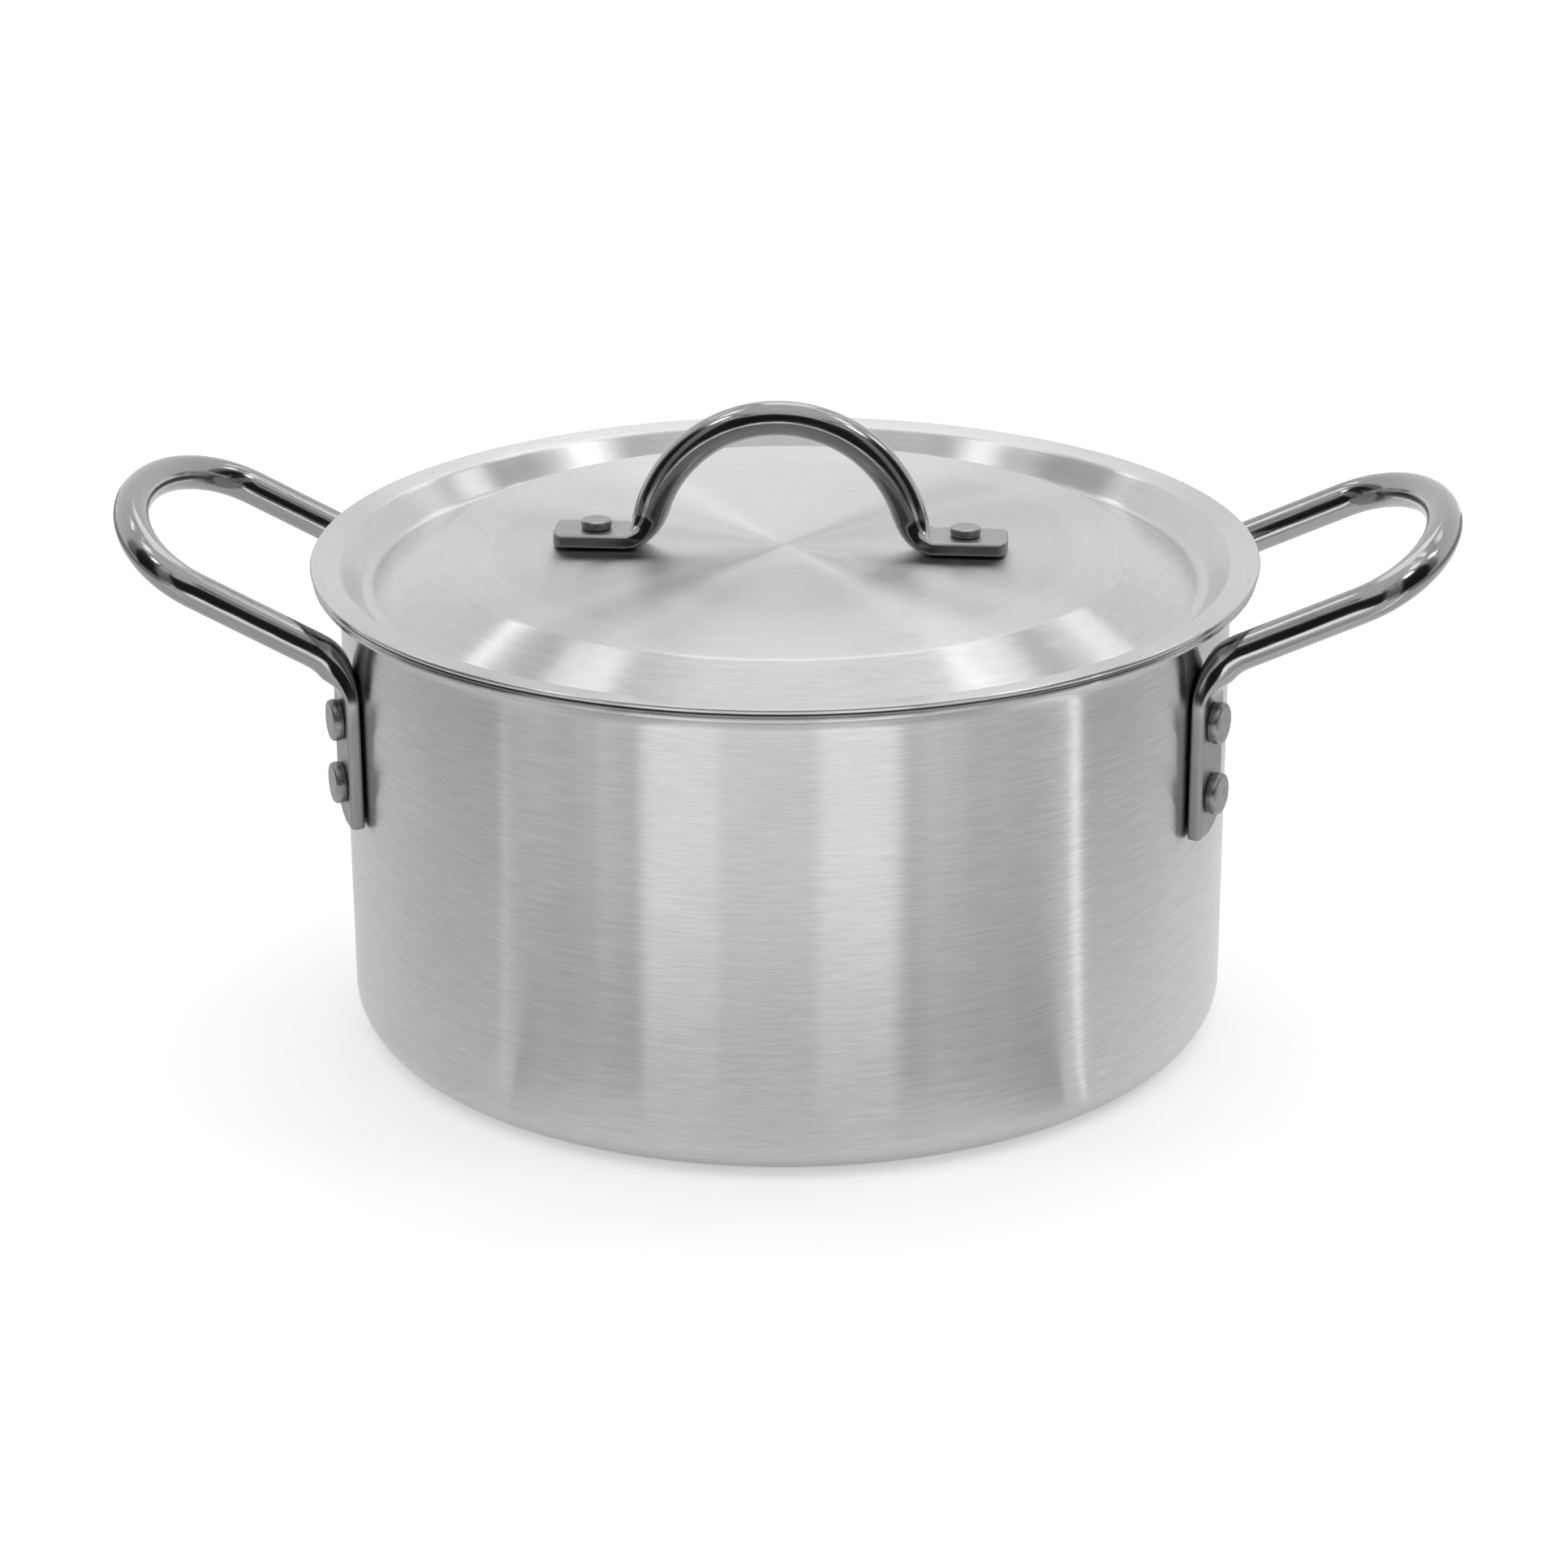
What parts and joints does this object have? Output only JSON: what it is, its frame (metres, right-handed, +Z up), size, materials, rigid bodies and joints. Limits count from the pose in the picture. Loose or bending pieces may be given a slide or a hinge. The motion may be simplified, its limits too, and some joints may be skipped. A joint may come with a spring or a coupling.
{
  "type": "cooking pot with lid",
  "caption": "Low wide cooking pot in brushed metal with two side handles of riveted flattened tube and a dished drop-in lid with an arched handle.",
  "frame": {"origin": "centre of the pot's flat base, on the surface that it stands on", "axes": "+Z up along the pot's axis, +X through the right side handle, -Y towards the front"},
  "size_m": [0.3676, 0.2602, 0.1745],
  "materials": {
    "pot_sheet": "spun and satin brushed round the axis",
    "lid_sheet": "fine matt satin, brushed round the axis on its cone and flange",
    "handle_tube": "polished along the tube, with fine draw lines",
    "rivet": "dull, hammered flat"
  },
  "bodies": {
    "pot": {"pot_body": "pot_sheet", "right_handle": "handle_tube", "left_handle": "handle_tube", "right_front_upper_rivet": "rivet", "right_front_lower_rivet": "rivet", "right_rear_upper_rivet": "rivet", "right_rear_lower_rivet": "rivet", "left_front_upper_rivet": "rivet", "left_front_lower_rivet": "rivet", "left_rear_upper_rivet": "rivet", "left_rear_lower_rivet": "rivet"},
    "lid": {"lid_cover": "lid_sheet", "lid_handle": "handle_tube", "lid_left_rivet": "rivet", "lid_right_rivet": "rivet"}
  },
  "joints": [
    {"name": "lid_lift", "type": "slide", "parent": "pot", "child": "lid", "axis": [0, 0, 1], "range_m": [0, 0.15]}
  ]
}
